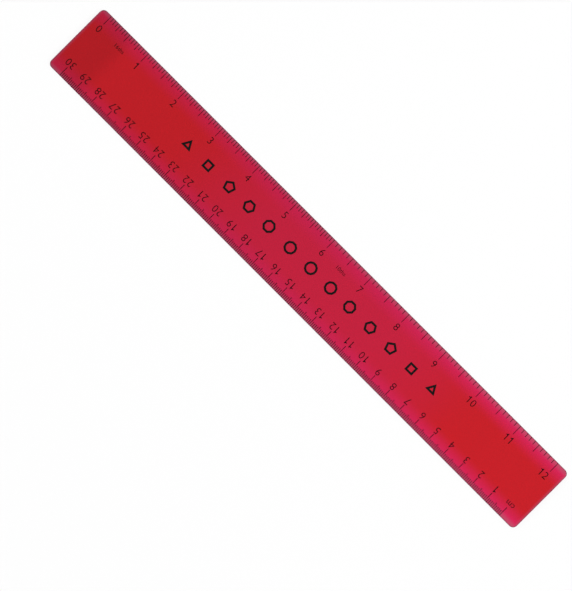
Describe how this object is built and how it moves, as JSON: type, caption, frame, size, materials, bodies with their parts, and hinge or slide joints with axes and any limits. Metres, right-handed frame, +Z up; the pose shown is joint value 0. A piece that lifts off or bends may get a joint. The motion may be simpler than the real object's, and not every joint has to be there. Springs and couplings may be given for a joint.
{
  "type": "flexible ruler",
  "caption": "Thin translucent red plastic ruler that bends and springs back flat, with an inch scale on one bevelled edge and a centimetre scale on the other.",
  "frame": {"origin": "middle of the flat underside that the ruler rests on", "axes": "+X along the ruler towards its twelve inch end, +Y towards its inch edge, +Z up out of its top face"},
  "size_m": [0.3174, 0.0382, 0.0016],
  "materials": {
    "clear_red_plastic": "gloss",
    "black_print": "matte"
  },
  "bodies": {
    "section_01": {"strip_section_01": "clear_red_plastic", "scale_print_01": "black_print"},
    "section_02": {"strip_section_02": "clear_red_plastic", "scale_print_02": "black_print"},
    "section_03": {"strip_section_03": "clear_red_plastic", "scale_print_03": "black_print"},
    "section_04": {"strip_section_04": "clear_red_plastic", "scale_print_04": "black_print"},
    "section_05": {"strip_section_05": "clear_red_plastic", "scale_print_05": "black_print"},
    "section_06": {"strip_section_06": "clear_red_plastic", "scale_print_06": "black_print", "top_print_06": "black_print"},
    "section_07": {"strip_section_07": "clear_red_plastic", "scale_print_07": "black_print", "top_print_07": "black_print"},
    "section_08": {"strip_section_08": "clear_red_plastic", "scale_print_08": "black_print", "top_print_08": "black_print"},
    "section_09": {"strip_section_09": "clear_red_plastic", "scale_print_09": "black_print", "top_print_09": "black_print"},
    "section_10": {"strip_section_10": "clear_red_plastic", "scale_print_10": "black_print", "top_print_10": "black_print"},
    "section_11": {"strip_section_11": "clear_red_plastic", "scale_print_11": "black_print", "top_print_11": "black_print"},
    "section_12": {"strip_section_12": "clear_red_plastic", "scale_print_12": "black_print", "top_print_12": "black_print"},
    "section_13": {"strip_section_13": "clear_red_plastic", "scale_print_13": "black_print", "top_print_13": "black_print"},
    "section_14": {"strip_section_14": "clear_red_plastic", "scale_print_14": "black_print", "top_print_14": "black_print"},
    "section_15": {"strip_section_15": "clear_red_plastic", "scale_print_15": "black_print", "top_print_15": "black_print"},
    "section_16": {"strip_section_16": "clear_red_plastic", "scale_print_16": "black_print", "top_print_16": "black_print"},
    "section_17": {"strip_section_17": "clear_red_plastic", "scale_print_17": "black_print", "top_print_17": "black_print"},
    "section_18": {"strip_section_18": "clear_red_plastic", "scale_print_18": "black_print", "top_print_18": "black_print"},
    "section_19": {"strip_section_19": "clear_red_plastic", "scale_print_19": "black_print"},
    "section_20": {"strip_section_20": "clear_red_plastic", "scale_print_20": "black_print"},
    "section_21": {"strip_section_21": "clear_red_plastic", "scale_print_21": "black_print"},
    "section_22": {"strip_section_22": "clear_red_plastic", "scale_print_22": "black_print"},
    "section_23": {"strip_section_23": "clear_red_plastic", "scale_print_23": "black_print"}
  },
  "joints": [
    {"name": "zero_end_bend", "type": "hinge", "parent": "section_06", "child": "section_05", "pos_m": [-0.09035, 0, 0.0008], "axis": [0, 1, 0], "range_deg": [-14.5, 14.5], "stiffness_Nm_per_rad": 0.047},
    {"name": "flex_line_04", "type": "hinge", "parent": "section_05", "child": "section_04", "pos_m": [-0.10335, 0, 0.0008], "axis": [0, 1, 0], "range_deg": [-14.5, 14.5], "stiffness_Nm_per_rad": 0.047},
    {"name": "flex_line_03", "type": "hinge", "parent": "section_04", "child": "section_03", "pos_m": [-0.11735, 0, 0.0008], "axis": [0, 1, 0], "range_deg": [-14.5, 14.5], "stiffness_Nm_per_rad": 0.047},
    {"name": "flex_line_02", "type": "hinge", "parent": "section_03", "child": "section_02", "pos_m": [-0.13035, 0, 0.0008], "axis": [0, 1, 0], "range_deg": [-14.5, 14.5], "stiffness_Nm_per_rad": 0.047},
    {"name": "flex_line_01", "type": "hinge", "parent": "section_02", "child": "section_01", "pos_m": [-0.14435, 0, 0.0008], "axis": [0, 1, 0], "range_deg": [-14.5, 14.5], "stiffness_Nm_per_rad": 0.047},
    {"name": "zero_middle_bend", "type": "hinge", "parent": "section_12", "child": "section_11", "pos_m": [-0.00635, 0, 0.0008], "axis": [0, 1, 0], "range_deg": [-14.5, 14.5], "stiffness_Nm_per_rad": 0.047},
    {"name": "flex_line_10", "type": "hinge", "parent": "section_11", "child": "section_10", "pos_m": [-0.02035, 0, 0.0008], "axis": [0, 1, 0], "range_deg": [-14.5, 14.5], "stiffness_Nm_per_rad": 0.047},
    {"name": "flex_line_09", "type": "hinge", "parent": "section_10", "child": "section_09", "pos_m": [-0.03535, 0, 0.0008], "axis": [0, 1, 0], "range_deg": [-14.5, 14.5], "stiffness_Nm_per_rad": 0.047},
    {"name": "flex_line_08", "type": "hinge", "parent": "section_09", "child": "section_08", "pos_m": [-0.04735, 0, 0.0008], "axis": [0, 1, 0], "range_deg": [-14.5, 14.5], "stiffness_Nm_per_rad": 0.047},
    {"name": "flex_line_07", "type": "hinge", "parent": "section_08", "child": "section_07", "pos_m": [-0.06235, 0, 0.0008], "axis": [0, 1, 0], "range_deg": [-14.5, 14.5], "stiffness_Nm_per_rad": 0.047},
    {"name": "flex_line_06", "type": "hinge", "parent": "section_07", "child": "section_06", "pos_m": [-0.07635, 0, 0.0008], "axis": [0, 1, 0], "range_deg": [-14.5, 14.5], "stiffness_Nm_per_rad": 0.047},
    {"name": "twelve_middle_bend", "type": "hinge", "parent": "section_12", "child": "section_13", "pos_m": [0.00765, 0, 0.0008], "axis": [0, -1, 0], "range_deg": [-14.5, 14.5], "stiffness_Nm_per_rad": 0.047},
    {"name": "flex_line_13", "type": "hinge", "parent": "section_13", "child": "section_14", "pos_m": [0.02065, 0, 0.0008], "axis": [0, -1, 0], "range_deg": [-14.5, 14.5], "stiffness_Nm_per_rad": 0.047},
    {"name": "flex_line_14", "type": "hinge", "parent": "section_14", "child": "section_15", "pos_m": [0.03365, 0, 0.0008], "axis": [0, -1, 0], "range_deg": [-14.5, 14.5], "stiffness_Nm_per_rad": 0.047},
    {"name": "flex_line_15", "type": "hinge", "parent": "section_15", "child": "section_16", "pos_m": [0.04865, 0, 0.0008], "axis": [0, -1, 0], "range_deg": [-14.5, 14.5], "stiffness_Nm_per_rad": 0.047},
    {"name": "flex_line_16", "type": "hinge", "parent": "section_16", "child": "section_17", "pos_m": [0.06165, 0, 0.0008], "axis": [0, -1, 0], "range_deg": [-14.5, 14.5], "stiffness_Nm_per_rad": 0.047},
    {"name": "flex_line_17", "type": "hinge", "parent": "section_17", "child": "section_18", "pos_m": [0.07665, 0, 0.0008], "axis": [0, -1, 0], "range_deg": [-14.5, 14.5], "stiffness_Nm_per_rad": 0.047},
    {"name": "twelve_end_bend", "type": "hinge", "parent": "section_18", "child": "section_19", "pos_m": [0.08965, 0, 0.0008], "axis": [0, -1, 0], "range_deg": [-14.5, 14.5], "stiffness_Nm_per_rad": 0.047},
    {"name": "flex_line_19", "type": "hinge", "parent": "section_19", "child": "section_20", "pos_m": [0.10265, 0, 0.0008], "axis": [0, -1, 0], "range_deg": [-14.5, 14.5], "stiffness_Nm_per_rad": 0.047},
    {"name": "flex_line_20", "type": "hinge", "parent": "section_20", "child": "section_21", "pos_m": [0.11765, 0, 0.0008], "axis": [0, -1, 0], "range_deg": [-14.5, 14.5], "stiffness_Nm_per_rad": 0.047},
    {"name": "flex_line_21", "type": "hinge", "parent": "section_21", "child": "section_22", "pos_m": [0.13065, 0, 0.0008], "axis": [0, -1, 0], "range_deg": [-14.5, 14.5], "stiffness_Nm_per_rad": 0.047},
    {"name": "flex_line_22", "type": "hinge", "parent": "section_22", "child": "section_23", "pos_m": [0.14465, 0, 0.0008], "axis": [0, -1, 0], "range_deg": [-14.5, 14.5], "stiffness_Nm_per_rad": 0.047}
  ],
  "couplings": [
    {"joint": "flex_line_04", "follows": "zero_end_bend", "ratio": 1},
    {"joint": "flex_line_03", "follows": "zero_end_bend", "ratio": 1},
    {"joint": "flex_line_02", "follows": "zero_end_bend", "ratio": 1},
    {"joint": "flex_line_01", "follows": "zero_end_bend", "ratio": 1},
    {"joint": "flex_line_10", "follows": "zero_middle_bend", "ratio": 1},
    {"joint": "flex_line_09", "follows": "zero_middle_bend", "ratio": 1},
    {"joint": "flex_line_08", "follows": "zero_middle_bend", "ratio": 1},
    {"joint": "flex_line_07", "follows": "zero_middle_bend", "ratio": 1},
    {"joint": "flex_line_06", "follows": "zero_middle_bend", "ratio": 1},
    {"joint": "flex_line_13", "follows": "twelve_middle_bend", "ratio": 1},
    {"joint": "flex_line_14", "follows": "twelve_middle_bend", "ratio": 1},
    {"joint": "flex_line_15", "follows": "twelve_middle_bend", "ratio": 1},
    {"joint": "flex_line_16", "follows": "twelve_middle_bend", "ratio": 1},
    {"joint": "flex_line_17", "follows": "twelve_middle_bend", "ratio": 1},
    {"joint": "flex_line_19", "follows": "twelve_end_bend", "ratio": 1},
    {"joint": "flex_line_20", "follows": "twelve_end_bend", "ratio": 1},
    {"joint": "flex_line_21", "follows": "twelve_end_bend", "ratio": 1},
    {"joint": "flex_line_22", "follows": "twelve_end_bend", "ratio": 1}
  ]
}
